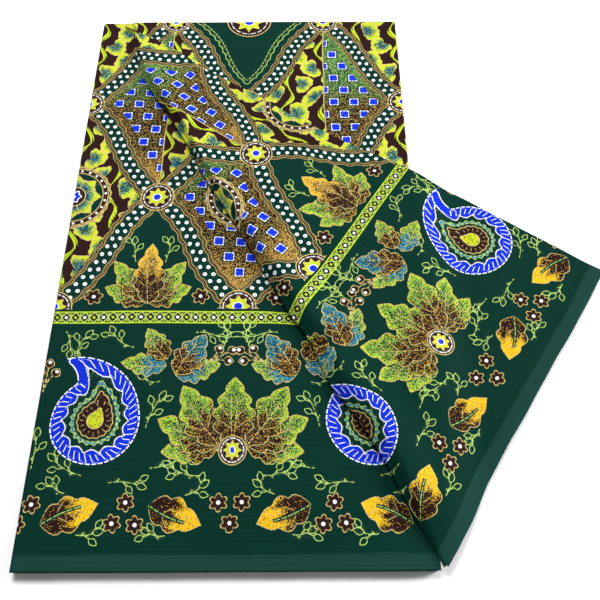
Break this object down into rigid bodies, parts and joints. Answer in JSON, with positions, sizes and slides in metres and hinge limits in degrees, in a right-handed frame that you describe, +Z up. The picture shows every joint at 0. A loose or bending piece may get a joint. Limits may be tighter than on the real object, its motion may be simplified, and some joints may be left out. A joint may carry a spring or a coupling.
{
  "type": "folded wax print fabric",
  "caption": "Length of printed cotton cloth, doubled and pleated into a flat pack, with its end panel turned back and one corner fanned out on the diagonal to the table.",
  "frame": {"origin": "on the table, below the middle of the whole outline", "axes": "+Y from the selvedges to the centre fold, +X from the pack's left fold to the fanned corner, +Z up from the table"},
  "size_m": [0.5011, 0.584, 0.0165],
  "materials": {
    "cloth_layers": "plain woven cotton, dyed deep green, crisp and slightly glazed",
    "cloth_top": "plain woven cotton with a wax print, crisp and slightly glazed",
    "cloth_turned_back": "plain woven cotton with a wax print, crisp and slightly glazed",
    "cloth_corner": "plain woven cotton with a wax print, crisp and slightly glazed"
  },
  "bodies": {
    "root": {"hidden_stack": "cloth_layers", "top_panel": "cloth_top", "turned_back_panel": "cloth_turned_back", "fanned_corner": "cloth_corner"}
  },
  "joints": []
}
